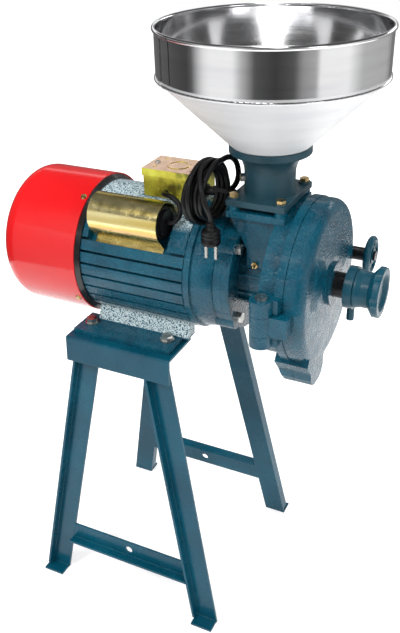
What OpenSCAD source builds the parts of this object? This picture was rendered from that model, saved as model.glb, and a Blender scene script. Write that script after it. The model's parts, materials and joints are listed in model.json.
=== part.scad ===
// Electric grain mill: a foot-mounted motor drives an auger and a grinding disc in a cast
// housing with a hinged front cover, fed from a steel hopper, all on a two-trestle stand.
// X runs along the shaft toward the handwheel, Z is up, and the ground is z = 0.

/* [Stand] */
// Height of the rails that carry the motor
stand_h = 407; // [340:1:480]
// Length of each top rail
rail_len = 148; // [140:1:180]
// Width of a rail's top flange
rail_depth = 60; // [56:1:66]
// Height of a rail's outer flange
rail_drop = 34; // [30:1:44]
// Distance from the shaft's plane to a rail's outer fold
rail_half_y = 104; // [100:1:116]
// Outward lean of each trestle in degrees
trestle_lean = 4.6; // [1:0.1:6]
// Sideways lean of each leg in degrees
leg_lean = 10.8; // [7:0.1:14]
// Width of a leg's face
leg_w = 31; // [24:1:38]
// Depth of a leg's side flange
leg_flange = 14; // [10:1:18]
// Sheet thickness of the stand
stand_t = 3; // [2:0.5:4]
// Depth of the foot tabs
tab_depth = 21; // [16:1:36]
// Height of the crossbars above the ground
bar_z = 75; // [60:1:140]
// Height of a crossbar's web
bar_h = 26; // [22:1:32]
// Depth of a crossbar's flange
bar_flange = 12; // [8:1:16]
// Bolt hole in each crossbar
bar_hole_d = 11; // [7:0.5:13]
// Distance by which the far trestle stands nearer the mill
far_shift = 10; // [0:1:12]

/* [Motor] */
// Shaft height above the motor's feet
shaft_h = 90; // [84:1:100]
// Radius over the fins
fin_r = 82.5; // [78:0.5:86]
// Length of the finned frame
frame_len = 139; // [125:1:160]
// Depth of the grooves between the fins
groove_depth = 8; // [5:0.5:10]
// Width of the grooves between the fins
groove_w = 3; // [2:0.5:4]
// Bore of the frame, which holds the stator
frame_bore_r = 61; // [56:0.5:64]
// Radius of the shaft in the rotor
shaft_r = 12; // [11:0.5:14]
// Length of the domed part of the front end shield
bell_len = 35; // [28:1:42]
// Thickness of the front end shield's bolting flange
motor_flange_t = 10; // [8:1:14]
// Radius of the bolting flange
motor_flange_r = 73; // [70:1:78]
// Radius of the flange bolt circle
flange_bolt_r = 63; // [60:1:66]
// Distance between the foot bolts along the shaft
foot_bolt_x = 109; // [96:1:112]
// Distance from the shaft's plane to the foot bolts
foot_bolt_y = 70; // [66:1:74]
// Radius of the foot bolts
foot_bolt_r = 4; // [3:0.5:5]
// Air gap between rotor and stator
air_gap = 0.5; // [0.3:0.1:1]

/* [Fan cover] */
// Radius of the fan cover
fan_cover_r = 90; // [87:0.5:94]
// Length of the fan cover
fan_cover_len = 114; // [100:1:130]
// Corner radius of its closed end
fan_cover_round = 24; // [12:1:30]
// Sheet thickness of the fan cover
fan_cover_t = 1.5; // [1:0.1:2]
// Black band of the rear end shield left bare between cover and fins
bare_band = 5; // [3:1:10]

/* [Capacitor and terminal box] */
// Radius of the capacitor's cover
cap_cover_r = 25; // [23:0.5:28]
// Length of the capacitor's cover
cap_cover_len = 92; // [80:1:104]
// Angle of the capacitor above the horizontal
cap_angle = 50; // [42:1:54]
// Sheet thickness of the two pressed covers
box_t = 1.2; // [1:0.1:1.6]
// Length of the terminal box along the shaft
box_x = 72; // [64:1:80]
// Width of the terminal box
box_y = 46; // [40:1:52]
// Height of the terminal box
box_h = 34; // [28:1:40]

/* [Mill] */
// Radius of the drum's flange
drum_r = 99; // [96:1:104]
// Radius of the grinding chamber
chamber_r = 87; // [84:1:89]
// Distance from the hopper's axis to the drum's back
drum_back = 24; // [22:1:30]
// Depth of the drum from its back to the cover's joint face
drum_depth = 30; // [28:1:34]
// Thickness of the drum's back wall
drum_wall = 8; // [6:0.5:9]
// Distance from the hopper's axis back to the motor's flange
motor_gap = 30; // [26:1:34]
// Thickness of the housing's bolting flange
mill_flange_t = 10; // [8:1:12]
// Outer radius of the auger's tube
tube_r = 42; // [38:0.5:46]
// Bore of the auger's tube
tube_bore_r = 27; // [25:0.5:29]
// Depth of the hinged cover
cover_depth = 24; // [22:1:30]
// Wall thickness of the cover
cover_wall = 8; // [6:0.5:9]
// Radius of the rounding at the cover's front edge
cover_round = 12; // [6:1:14]
// Radius of the hinge knuckles
knuckle_r = 13; // [11:0.5:14]
// Radius of the hinge pin
hinge_pin_r = 4; // [3:0.5:5]
// Distance from the shaft's plane to the hinge pin and to the clamp screw
side_y = 107; // [107:1:114]
// Width of the discharge spout
spout_w = 44; // [36:1:50]
// Length of the spout along the shaft
spout_len = 41; // [38:1:46]
// Bottom of the spout below the shaft
spout_drop = 121; // [116:1:134]
// Wall thickness of the spout
spout_wall = 4; // [3:0.5:5]

/* [Grinding] */
// Radius of the grinding discs
disc_r = 72; // [66:1:76]
// Thickness of each grinding disc
disc_t = 8; // [7:0.5:9]
// Depth of the discs' cutting grooves
furrow_depth = 2; // [1:0.25:3]
// Gap between the discs when set fine
disc_gap = 0.5; // [0.3:0.1:1]
// Radius over the auger's flight
auger_r = 25; // [23:0.5:26]
// Pitch of the auger's flight
auger_pitch = 32; // [26:1:40]

/* [Adjuster and clamp] */
// Radius of the adjusting screw
screw_r = 15; // [13:0.5:17]
// Bare length of the screw between cover boss and lock ring
screw_bare = 15; // [12:1:20]
// Radius of the lock ring
lock_r = 25; // [22:0.5:27]
// Thickness of the lock ring
lock_t = 10; // [8:0.5:12]
// Length of the adjusting handwheel
wheel_len = 31; // [26:1:36]
// Radius of the handwheel's barrel
wheel_hub_r = 22.5; // [21:0.5:24]
// Radius over the handwheel's lobes
wheel_r = 30; // [28:0.5:34]
// Number of lobes on the handwheel
wheel_lobes = 6; // [5:1:8]
// Radius of the clamp screw
clamp_r = 6; // [5:0.5:7]
// Radius of the clamp's handwheel
clamp_wheel_r = 25; // [22:0.5:28]

/* [Hopper] */
// Diameter over the hopper's rim bead
hopper_d = 252; // [220:2:290]
// Height of the hopper's straight band
band_h = 52; // [40:1:70]
// Height of the hopper's cone down to the flared seat
cone_h = 76; // [60:1:90]
// Sheet thickness of the hopper
hopper_t = 1; // [0.8:0.1:1.5]
// Radius of the throat's flared seat
seat_r = 46.5; // [44:0.5:50]
// Outer radius of the throat's neck
neck_r = 29; // [27:0.5:31]
// Bore of the throat
throat_bore_r = 23.5; // [22:0.5:25]
// Height of the throat from its flange's top to the seat's rim
throat_h = 53; // [46:1:60]
// Half length of the throat's flange along the shaft
flange_half_x = 35; // [34:0.5:38]
// Half width of the throat's flange across the shaft
flange_half_y = 45; // [42:0.5:48]

/* [Hidden] */
$fn = 64;

// Clearances
running = 0.05;   // radial, of a shaft, pin or thread in its bore
apart = 0.3;      // between faces that pass each other
big = 1200;

// Heights
shaft_z = stand_h + shaft_h;
flange_top = shaft_z + 105;
seat_z = flange_top + throat_h;
band_z = seat_z + cone_h;
rim_z = band_z + band_h;

// Stations along the shaft, each from the hopper's axis
seam = drum_back + drum_depth;
cover_front = seam + cover_depth;
cover_boss = cover_front + 6;
lock_back = cover_boss + screw_bare;
wheel_back = lock_back + lock_t + apart;
wheel_front = wheel_back + wheel_len;
bell_front = -motor_gap - motor_flange_t;
frame_front = bell_front - bell_len;
frame_back = frame_front - frame_len;
cover_open = frame_back - bare_band;
cover_back = cover_open - fan_cover_len;

// The hopper's axis, placed so that the whole is centred on the origin
mill_x = -(wheel_front + cover_back) / 2;

// Motor
foot_x = frame_back + 55;
foot_t = 7;
foot_w = 44;
foot_len = foot_bolt_x + 28;
fin_pitch = 11;
tie_r = frame_bore_r + 7;
tie_turn = 20;
cover_screw_turn = 30;
cover_screw_x = cover_open - 6;
bell_rim = 8;
bell_neck = motor_flange_r - 3;
bearing_bore = shaft_r - 2;
bearing_r = bearing_bore + 13.5;
bearing_w = 14;
stator_len = frame_len * 0.58;
stator_mid = (frame_front + frame_back) / 2;
rotor_r = 37;
fan_back = frame_back - 62;
shield_r = fan_cover_r - fan_cover_t - 0.2;
rear_bearing_x = frame_back - 9;
front_bearing_x = frame_front + 12;
cap_seat = fin_r - groove_depth - 6.5;
cap_r = cap_cover_r - 5.5;
cap_axis = cap_seat + cap_r + apart;
cap_back = frame_back + 16;
box_mid = frame_back + 98;
box_seat = fin_r + 1;
box_lid_t = 5;

// Mill
hinge_x = seam - knuckle_r - 7;
clamp_z = shaft_z - 8;
ear_front = seam + 12;
hinge_low = shaft_z - 34;
hinge_joint_low = shaft_z - 19;
hinge_joint_high = shaft_z + 5;
hinge_high = shaft_z + 23;
ear_r = 14;
web_y = side_y - drum_r - 0.6;   // inner face of the knuckle's web, from the hinge pin
fixed_back = drum_back + drum_wall;
fixed_front = fixed_back + disc_t;
moving_back = fixed_front + disc_gap;
moving_front = moving_back + disc_t;
carrier_front = moving_front + 7;
hub_front = carrier_front + 3;
shaft_end = moving_front + 4;
pin_back = hub_front + apart;
screw_back = cover_front - cover_wall;
spout_y = -5 - spout_w / 2;
spout_back = seam - 19;
pad_h = 6;
pad_r = 7;
deck_t = 8;
housing_top = flange_top - 9;
throat_bolt_x = flange_half_x - pad_r;
throat_bolt_y = flange_half_y - pad_r;
flare_h = 24;
seat_lip = 8;
wheel_waist_r = wheel_hub_r - 1.5;
clamp_wheel_t = 8;
clamp_wheel_back = ear_front + 26;

// The mains cord's route from the gland into its coil and from the coil to the plug, and the
// capacitor lead's route; distances along the shaft are from the terminal box's middle
gland_y = -2;
gland_z = 589.5;
lead_z = 588;
cord_r = 3.2;
gland_r = 6;
lead_r = 3;
cord_sides = 8;
cord_in = [
    [47, -2, 589.5], [52, -2, 589.5], [58.7, -2, 590.4], [65, -2, 593], [70.4, -2, 597.1],
    [74.5, -2, 602.5], [77.1, -2, 608.8], [78, -2, 615.5], [77.8, -2.9, 622.2], [77.4, -5.4, 628.5],
    [76.7, -9.5, 633.9], [75.7, -14.8, 638], [74.6, -21, 640.6], [73.5, -27.6, 641.5], [72.4, -33.6, 641.4]
];
cord_out = [
    [67.8, -79.3, 622.9], [70.8, -82.5, 617.2], [73.6, -84.2, 611.1], [75.9, -84.1, 604.9],
    [77.6, -82.6, 598.9], [78.7, -80.7, 593.4], [79, -80, 589.5], [79, -80, 586]
];
cap_route = [
    [-6, -23, 588], [-6, -28, 588], [-3, -34, 590], [4, -39, 591.5], [13, -41.5, 590],
    [20.5, -44, 586], [25, -48, 580], [25.5, -52.5, 573], [22, -56, 568], [17, -57, 566], [12, -57, 566]
];
coil_at = [61, -46, 606.1];
coil_turn = -10;
coil_r = 32;
plug_at = [79, -80, 560];

// ---------- shapes used by many pieces ----------

// A cylinder along the shaft from station a to station b
module bar(a, b, r) {
    translate([mill_x + a, 0, shaft_z]) rotate([0, 90, 0]) cylinder(h = b - a, r = r);
}

// A cylinder parallel to the shaft at (y, z)
module rod(a, b, r, y, z) {
    translate([mill_x + a, y, z]) rotate([0, 90, 0]) cylinder(h = b - a, r = r);
}

// A profile of [radius, station] points turned about the shaft
module turned(points) {
    translate([mill_x, 0, shaft_z]) rotate([0, 90, 0]) rotate_extrude($fn = 96) polygon(points);
}

// A quarter of an ellipse about a point, starting at its first half axis
function quarter(c, d) = [
    for (i = [0 : 8]) let (t = i * 90 / 8) [c[0] + d[0] * cos(t), c[1] + d[1] * sin(t)]
];

// Children placed round the shaft at a radius, facing along it
module round_shaft(n, r, a, first = 0) {
    for (i = [0 : n - 1]) {
        angle = first + i * 360 / n;
        translate([mill_x + a, r * cos(angle), shaft_z + r * sin(angle)]) rotate([0, 90, 0]) children();
    }
}

// A hexagon-headed screw along +Z with its head's seat at z = 0 and the shank below it
module hex_screw(r, length, head_h, head_r) {
    cylinder(h = head_h, r = head_r, $fn = 6);
    translate([0, 0, -length]) cylinder(h = length + 0.01, r = r);
}

// A round-headed screw along +Z, slotted
module round_screw(r, length, head_h, head_r) {
    difference() {
        cylinder(h = head_h, r1 = head_r, r2 = head_r * 0.7);
        translate([-head_r, -0.5, head_h * 0.6]) cube([2 * head_r, 1, head_h]);
    }
    translate([0, 0, -length]) cylinder(h = length + 0.01, r = r);
}

// ---------- stand ----------

module rail_frame() {
    translate([mill_x + foot_x, -rail_half_y, stand_h]) rotate([-trestle_lean, 0, 0]) children();
}

// The far trestle is the near one turned half round and shifted along the shaft
module other_side() {
    translate([mill_x + foot_x + far_shift, 0, 0]) rotate([0, 0, 180]) {
        translate([-mill_x - foot_x, 0, 0]) children();
    }
}

module foot_holes(z, h, r) {
    for (side = [-1, 1], end = [-1, 1]) {
        translate([mill_x + foot_x + end * foot_bolt_x / 2, side * foot_bolt_y, z]) cylinder(h = h, r = r);
    }
}

// A rail: a plate folded over the legs, with its bolt holes moved along it by shift
module rail(shift) {
    fold = [stand_t * (1 - sin(trestle_lean)) / cos(trestle_lean), -stand_t];
    edge = rail_drop * [-sin(trestle_lean), -cos(trestle_lean)];
    across = stand_t * [cos(trestle_lean), -sin(trestle_lean)];
    fold_angles = [for (i = [0 : 6]) 90 + (90 - trestle_lean) * i / 6];
    difference() {
        translate([mill_x + foot_x - rail_len / 2, -rail_half_y, stand_h]) rotate([90, 0, 90]) {
            linear_extrude(height = rail_len) polygon(concat(
                [edge, edge + across, fold, [rail_depth, -stand_t], [rail_depth, 0]],
                [for (a = fold_angles) fold + stand_t * [cos(a), sin(a)]]
            ));
        }
        translate([shift, 0, 0]) foot_holes(stand_h - 10, 20, foot_bolt_r + 1);
    }
}

// Distance from a rail's middle to the outer edge of a leg's top; side is -1 left, 1 right
function leg_top(side) = side < 0 ? -rail_len / 2 + 7 : rail_len / 2 - leg_w - 6;

// A leg's own axes, from its top corner down along the leg
module leg_axis(side) {
    translate([leg_top(side), 0, -rail_drop]) rotate([0, -side * leg_lean, 0]) children();
}

// One leg, an angle with its lower end bent out as a foot
module leg(side) {
    face_y = stand_t + leg_flange;
    foot_edge = leg_top(side) + side * (stand_h - rail_drop) * tan(leg_lean);
    face_ground_y = -rail_half_y - stand_h * tan(trestle_lean) + face_y / cos(trestle_lean);
    intersection() {
        union() {
            rail_frame() leg_axis(side) translate([0, leg_flange, -big]) cube([leg_w, stand_t, 2 * big]);
            difference() {
                rail_frame() leg_axis(side) translate([0, stand_t, -big]) {
                    cube([stand_t, leg_flange, 2 * big]);
                }
                translate([-big / 2, -big / 2, 0]) cube([big, big, stand_t + 4]);
            }
            translate([mill_x + foot_x + foot_edge, face_ground_y - tab_depth, 0]) {
                cube([leg_w, tab_depth, stand_t]);
            }
        }
        translate([-big / 2, -big / 2, 0]) cube([big, big, stand_h - 2 * stand_t - 0.2]);
    }
}

// A crossbar between the legs' inner edges, with its flange along the top or the bottom edge
module crossbar(flange_up) {
    drop = stand_h - bar_z;
    flange_z = flange_up ? bar_h / 2 - stand_t : -bar_h / 2;
    difference() {
        rail_frame() {
            translate([-rail_len, leg_flange, -drop - bar_h / 2]) cube([2 * rail_len, stand_t, bar_h]);
            translate([-rail_len, leg_flange - bar_flange, -drop + flange_z]) {
                cube([2 * rail_len, bar_flange + 0.01, stand_t]);
            }
        }
        rail_frame() leg_axis(-1) translate([leg_w - big, -big / 2, -big]) cube([big, big, 2 * big]);
        rail_frame() leg_axis(1) translate([0, -big / 2, -big]) cube([big, big, 2 * big]);
        rail_frame() translate([0, -big / 2, -drop]) rotate([-90, 0, 0]) {
            cylinder(h = big, r = bar_hole_d / 2);
        }
    }
}

module near_rail() { color("#1b5f73") rail(0); }
module near_left_leg() { color("#1b5f73") leg(-1); }
module near_right_leg() { color("#1b5f73") leg(1); }
module near_crossbar() { color("#1b5f73") crossbar(false); }
module far_rail() { color("#1b5f73") other_side() rail(far_shift); }
module far_left_leg() { color("#1b5f73") other_side() leg(1); }
module far_right_leg() { color("#1b5f73") other_side() leg(-1); }
module far_crossbar() { color("#1b5f73") other_side() crossbar(true); }

module foot_bolts() {
    color("silver") for (side = [-1, 1], end = [-1, 1]) {
        translate([mill_x + foot_x + end * foot_bolt_x / 2, side * foot_bolt_y, stand_h + foot_t]) {
            cylinder(h = 1.5, r = 9);
            translate([0, 0, 1.5]) hex_screw(foot_bolt_r, foot_t + stand_t + 9, 5.5, 7.5);
            translate([0, 0, -foot_t - stand_t - 6]) cylinder(h = 6, r = 7.5, $fn = 6);
        }
    }
}

// ---------- motor ----------

// The angles at which the frame carries grooves
function fin_angles() = [
    for (i = [-4 : 2], side = [0, 1]) side == 0 ? i * fin_pitch + 5 : 175 - i * fin_pitch
];

module motor_frame() {
    web_out = foot_bolt_y - 10;
    web_in = foot_bolt_y - 30;
    web_top = shaft_z - 60;
    color("#1b5f73") difference() {
        union() {
            bar(frame_back, frame_front, fin_r);
            for (side = [-1, 1]) {
                translate([mill_x + foot_x - foot_len / 2, side * foot_bolt_y - foot_w / 2, stand_h]) {
                    cube([foot_len, foot_w, foot_t]);
                }
                translate([mill_x + frame_back + 4, 0, 0]) rotate([90, 0, 90]) {
                    linear_extrude(height = frame_len - 10) {
                        polygon([
                            [side * web_out, stand_h + foot_t - 1], [side * (web_out - 10), web_top],
                            [side * web_in, web_top], [side * web_in, stand_h + foot_t - 1]
                        ]);
                    }
                }
            }
            translate([mill_x + box_mid - box_x / 2 - 2, 2 - box_y / 2, shaft_z + 40]) {
                cube([box_x + 4, box_y - 4, box_seat - 40]);
            }
        }
        bar(frame_back - 1, frame_front + 1, frame_bore_r);
        for (angle = fin_angles()) {
            translate([mill_x + frame_back - 1, 0, shaft_z]) rotate([angle, 0, 0]) {
                translate([0, fin_r - groove_depth, -groove_w / 2]) {
                    cube([frame_len + 2, groove_depth + 5, groove_w]);
                }
            }
        }
        translate([mill_x + cap_back - 8, 0, shaft_z]) rotate([180 - cap_angle, 0, 0]) {
            translate([0, cap_seat, -cap_cover_r - 7]) cube([cap_cover_len + 16, 60, 2 * cap_cover_r + 14]);
        }
        foot_holes(stand_h - 1, 20, foot_bolt_r + 1);
        translate([mill_x + box_mid, 0, shaft_z + 50]) cylinder(h = 60, r = 9);
        round_shaft(4, tie_r, frame_back - 1, tie_turn) cylinder(h = frame_len + 2, r = 2.7);
    }
}

module stator() {
    color("dimgray") difference() {
        bar(stator_mid - stator_len / 2, stator_mid + stator_len / 2, frame_bore_r);
        bar(stator_mid - stator_len, stator_mid + stator_len, rotor_r + air_gap);
        for (i = [0 : 23]) {
            translate([mill_x + stator_mid, 0, shaft_z]) rotate([i * 15, 0, 0]) {
                translate([-stator_len, rotor_r + 3, -2]) cube([2 * stator_len, 14, 4]);
            }
        }
    }
}

module windings() {
    color("peru") for (end = [-1, 1]) {
        translate([mill_x + stator_mid + end * (stator_len / 2 + 9), 0, shaft_z]) rotate([0, 90, 0]) {
            rotate_extrude() translate([rotor_r + 11, 0]) circle(r = 9);
        }
    }
}

module rear_end_shield() {
    color("#151515") difference() {
        turned([
            [0, frame_back - 12], [shield_r - 10, frame_back - 12], [shield_r - 10, frame_back - 16],
            [shield_r, frame_back - 16], [shield_r, cover_open], [fin_r + 2, frame_back], [0, frame_back]
        ]);
        bar(frame_back - 40, frame_back + 40, bearing_bore + 2);
        bar(rear_bearing_x, frame_back + 1, bearing_r);
        round_shaft(4, tie_r, frame_back - 30, tie_turn) cylinder(h = 40, r = 2.7);
        fan_cover_holes(2.5);
    }
}

module front_end_shield() {
    color("#1b5f73") difference() {
        union() {
            turned(concat(
                [[0, frame_front], [fin_r - 1, frame_front], [fin_r - 1, frame_front + bell_rim]],
                quarter([bell_neck, frame_front + bell_rim], [fin_r - 4 - bell_neck, bell_len - bell_rim]),
                [[motor_flange_r, bell_front], [motor_flange_r, -motor_gap], [0, -motor_gap]]
            ));
            round_shaft(4, flange_bolt_r + 3, bell_front - 4, 45) cylinder(h = motor_flange_t + 4, r = 12);
        }
        bar(frame_front - 1, frame_front + 9, frame_bore_r - 4);
        bar(frame_front - 1, front_bearing_x + bearing_w, bearing_r);
        bar(frame_front - 1, 0, shaft_r + 1);
        bar(-motor_gap - 12, 0, bearing_r + 8);
        round_shaft(4, flange_bolt_r, bell_front - 10, 45) cylinder(h = 60, r = 4);
        round_shaft(4, tie_r, frame_front - 1, tie_turn) cylinder(h = 13, r = 2.5);
    }
}

// Long bolts that draw both end shields onto the frame
module tie_bolts() {
    color("silver") round_shaft(4, tie_r, frame_back - 12, tie_turn) rotate([180, 0, 0]) {
        hex_screw(2.5, frame_len + 22, 4, 4.5);
    }
}

module bearing(a) {
    ball_r = 4;
    race = (bearing_bore + bearing_r) / 2;
    difference() {
        bar(a, a + bearing_w, bearing_r);
        bar(a - 1, a + bearing_w + 1, race + 2.5);
        translate([mill_x + a + bearing_w / 2, 0, shaft_z]) rotate([0, 90, 0]) {
            rotate_extrude() translate([race, 0]) circle(r = ball_r + running);
        }
    }
    difference() {
        bar(a, a + bearing_w, race - 2.5);
        bar(a - 1, a + bearing_w + 1, bearing_bore + running);
        translate([mill_x + a + bearing_w / 2, 0, shaft_z]) rotate([0, 90, 0]) {
            rotate_extrude() translate([race, 0]) circle(r = ball_r + running);
        }
    }
    round_shaft(9, race, a + bearing_w / 2) sphere(r = ball_r, $fn = 32);
}

module rear_bearing() { color("lightgray") bearing(rear_bearing_x); }
module front_bearing() { color("lightgray") bearing(front_bearing_x); }

module motor_shaft() {
    step_back = rear_bearing_x + bearing_w;
    color("gray") {
        bar(fan_back - 4, step_back, bearing_bore);
        bar(step_back, front_bearing_x, shaft_r);
        bar(front_bearing_x, shaft_end, bearing_bore);
    }
}

module rotor_core() {
    color("silver") difference() {
        union() {
            bar(stator_mid - stator_len / 2, stator_mid + stator_len / 2, rotor_r);
            bar(stator_mid - stator_len / 2 - 7, stator_mid + stator_len / 2 + 7, rotor_r - 5);
        }
        bar(stator_mid - big, stator_mid + big, shaft_r);
    }
}

module cooling_fan() {
    color("#202020") difference() {
        union() {
            bar(fan_back, fan_back + 28, 18);
            bar(fan_back + 26, fan_back + 29, fan_cover_r - 20);
            for (i = [0 : 7]) {
                translate([mill_x + fan_back, 0, shaft_z]) rotate([i * 45, 0, 0]) {
                    translate([0, 12, -1.25]) cube([27, fan_cover_r - 32, 2.5]);
                }
            }
        }
        bar(fan_back - 1, fan_back + 40, bearing_bore);
    }
}

// The cover's outline; inset moves it inward for the inside of the sheet
module cover_outline(inset) {
    r = fan_cover_r - inset;
    corner = fan_cover_round - inset;
    translate([0, corner]) square([r, fan_cover_len]);
    square([r - corner, fan_cover_len]);
    translate([r - corner, corner]) circle(r = corner);
}

module fan_cover() {
    color("#d3272b") difference() {
        translate([mill_x + cover_back, 0, shaft_z]) rotate([0, 90, 0]) {
            rotate_extrude($fn = 96) intersection() {
                difference() {
                    cover_outline(0);
                    translate([0, fan_cover_t]) cover_outline(fan_cover_t);
                }
                square([fan_cover_r, fan_cover_len]);
            }
        }
        round_shaft(10, 22, cover_back - 1) cylinder(h = 5, r = 3.5);
        round_shaft(18, 36, cover_back - 1) cylinder(h = 5, r = 3.5);
        round_shaft(26, 50, cover_back - 1) cylinder(h = 5, r = 3.5);
        fan_cover_holes(2.6);
    }
}

module fan_cover_holes(r) {
    for (i = [0 : 3]) {
        translate([mill_x + cover_screw_x, 0, shaft_z]) rotate([cover_screw_turn + i * 90, 0, 0]) {
            rotate([-90, 0, 0]) translate([0, 0, fan_cover_r - 12]) cylinder(h = 20, r = r);
        }
    }
}

module fan_cover_screws() {
    color("goldenrod") for (i = [0 : 3]) {
        translate([mill_x + cover_screw_x, 0, shaft_z]) rotate([cover_screw_turn + i * 90, 0, 0]) {
            rotate([-90, 0, 0]) translate([0, 0, fan_cover_r]) round_screw(2.5, 8, 2, 4);
        }
    }
}

module cap_place() {
    translate([mill_x + cap_back, 0, shaft_z]) rotate([90 - cap_angle, 0, 0]) children();
}

module capacitor() {
    color("#202020") cap_place() translate([6, 0, cap_axis]) rotate([0, 90, 0]) {
        cylinder(h = cap_cover_len - 8, r = cap_r);
        translate([0, 0, cap_cover_len - 8]) cylinder(h = 4, r = cap_r - 4);
    }
}

module cap_profile(r) {
    translate([0, cap_axis]) circle(r = r);
    translate([-r, cap_seat]) square([2 * r, cap_axis - cap_seat]);
}

module capacitor_cover() {
    color("goldenrod") cap_place() {
        difference() {
            rotate([90, 0, 90]) linear_extrude(height = cap_cover_len) cap_profile(cap_cover_r);
            translate([box_t, 0, -0.01]) rotate([90, 0, 90]) linear_extrude(height = cap_cover_len) {
                cap_profile(cap_cover_r - box_t);
            }
            translate([-1, -big / 2, cap_seat - big]) cube([big, big, big]);
        }
        for (side = [-1, 1]) {
            translate([0, side < 0 ? -cap_cover_r - 6 : cap_cover_r - box_t, cap_seat]) {
                cube([cap_cover_len, 6 + box_t, box_t]);
            }
        }
    }
}

module terminal_box() {
    z0 = shaft_z + box_seat;
    color("goldenrod") difference() {
        union() {
            difference() {
                translate([mill_x + box_mid - box_x / 2, -box_y / 2, z0]) {
                    cube([box_x, box_y, box_h - box_lid_t]);
                }
                translate([mill_x + box_mid - box_x / 2 + box_t, -box_y / 2 + box_t, z0 + box_t]) {
                    cube([box_x - 2 * box_t, box_y - 2 * box_t, box_h]);
                }
            }
            for (end = [-1, 1]) {
                translate([mill_x + box_mid + end * (box_x / 2 - 7.5) - 7, -6, z0 + box_h - box_lid_t - 4]) {
                    cube([14, 12, 4]);
                }
            }
        }
        lid_screw_places() cylinder(h = 30, r = 2, center = true);
        translate([mill_x + box_mid, 0, z0 - 5]) cylinder(h = 10, r = 9);
        translate([mill_x + box_mid + box_x / 2 - 5, gland_y, gland_z]) {
            rotate([0, 90, 0]) cylinder(h = 10, r = gland_r);
        }
        translate([mill_x + box_mid - 6, -box_y / 2 - 5, lead_z]) {
            rotate([-90, 0, 0]) cylinder(h = 10, r = lead_r + 0.2);
        }
    }
}

module terminal_box_lid() {
    z1 = shaft_z + box_seat + box_h;
    color("goldenrod") difference() {
        union() {
            translate([mill_x + box_mid - box_x / 2 - box_t, -box_y / 2 - box_t, z1 - box_lid_t - 4]) {
                cube([box_x + 2 * box_t, box_y + 2 * box_t, box_lid_t + 4]);
            }
            translate([mill_x + box_mid, 0, z1]) difference() {
                cylinder(h = 0.8, r = 14);
                translate([0, 0, -0.1]) cylinder(h = 1, r = 11.5);
            }
        }
        for (side = [-1, 1], end = [-1, 1]) {
            translate([mill_x + box_mid + end * (box_x / 2 - 12), side * (box_y / 2 - 8), z1 - 0.6]) {
                cylinder(h = 1, r = 2.6);
            }
        }
        translate([mill_x + box_mid - box_x / 2, -box_y / 2, z1 - box_lid_t - 5]) {
            cube([box_x, box_y, box_lid_t + 5 - box_t]);
        }
        lid_screw_places() cylinder(h = 20, r = 2.2, center = true);
    }
}

module lid_screw_places() {
    for (end = [-1, 1]) {
        translate([mill_x + box_mid + end * (box_x / 2 - 8), 0, shaft_z + box_seat + box_h]) children();
    }
}

module lid_screws() {
    color("silver") lid_screw_places() round_screw(2, 9, 2, 3.5);
}

module capacitor_lead() {
    color("#151515") translate([mill_x + box_mid, 0, 0]) tube_along(cap_route, lead_r);
}

module cable_gland() {
    color("#151515") translate([mill_x + box_mid + box_x / 2 - 7, gland_y, gland_z]) rotate([0, 90, 0]) {
        difference() {
            union() {
                cylinder(h = 8, r = gland_r);
                translate([0, 0, 7]) cylinder(h = 2.5, r = gland_r + 2);
                translate([0, 0, 9]) cylinder(h = 12, r1 = gland_r, r2 = cord_r + 1.2);
            }
            translate([0, 0, 18]) cylinder(h = 4, r = cord_r);
        }
    }
}

// ---------- mill ----------

module mill_housing() {
    color("#1b5f73") difference() {
        union() {
            bar(drum_back, seam - 10, drum_r - 6);
            bar(seam - 10, seam, drum_r);
            bar(-motor_gap, -motor_gap + mill_flange_t, motor_flange_r);
            round_shaft(4, flange_bolt_r + 3, -motor_gap, 45) cylinder(h = mill_flange_t, r = 12);
            bar(-motor_gap, drum_back + 1, tube_r);
            tube_ribs();
            feed_box();
            hinge_lug();
            clamp_lug();
            spout_body(spout_back, seam);
        }
        bar(fixed_back, seam + 1, chamber_r);
        bar(-motor_gap + mill_flange_t, fixed_back + 1, tube_bore_r);
        bar(-motor_gap - 1, 0, bearing_bore + 6);
        translate([mill_x - 2, 0, housing_top + 6]) rotate([0, 172, 0]) cylinder(h = 88, r = 21);
        spout_passage();
        round_shaft(4, flange_bolt_r, -motor_gap - 1, 45) cylinder(h = mill_flange_t + 2, r = 4.2);
        for (side = [-1, 1], end = [-1, 1]) {
            translate([mill_x + end * throat_bolt_x, side * throat_bolt_y, housing_top - 12]) {
                cylinder(h = 20, r = 3);
            }
        }
        hinge_knuckle_space();
        translate([mill_x + hinge_x, -side_y, hinge_low - 5]) cylinder(h = 100, r = hinge_pin_r);
        rod(seam - 20, seam + 1, clamp_r + 1, side_y, clamp_z);
        nipple_place() cylinder(h = 20, r = 2, center = true);
        round_shaft(3, disc_r - 12, fixed_back - 7, 90) cylinder(h = 10, r = 2.5);
    }
}

module tube_ribs() {
    for (angle = [150, 165, 195, 210, 30, 15, -15, -30]) {
        translate([mill_x - motor_gap + mill_flange_t, 0, shaft_z]) rotate([angle, 0, 0]) {
            translate([0, tube_r - 4, -1.5]) cube([motor_gap - mill_flange_t + drum_back, 7, 3]);
        }
    }
}

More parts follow.
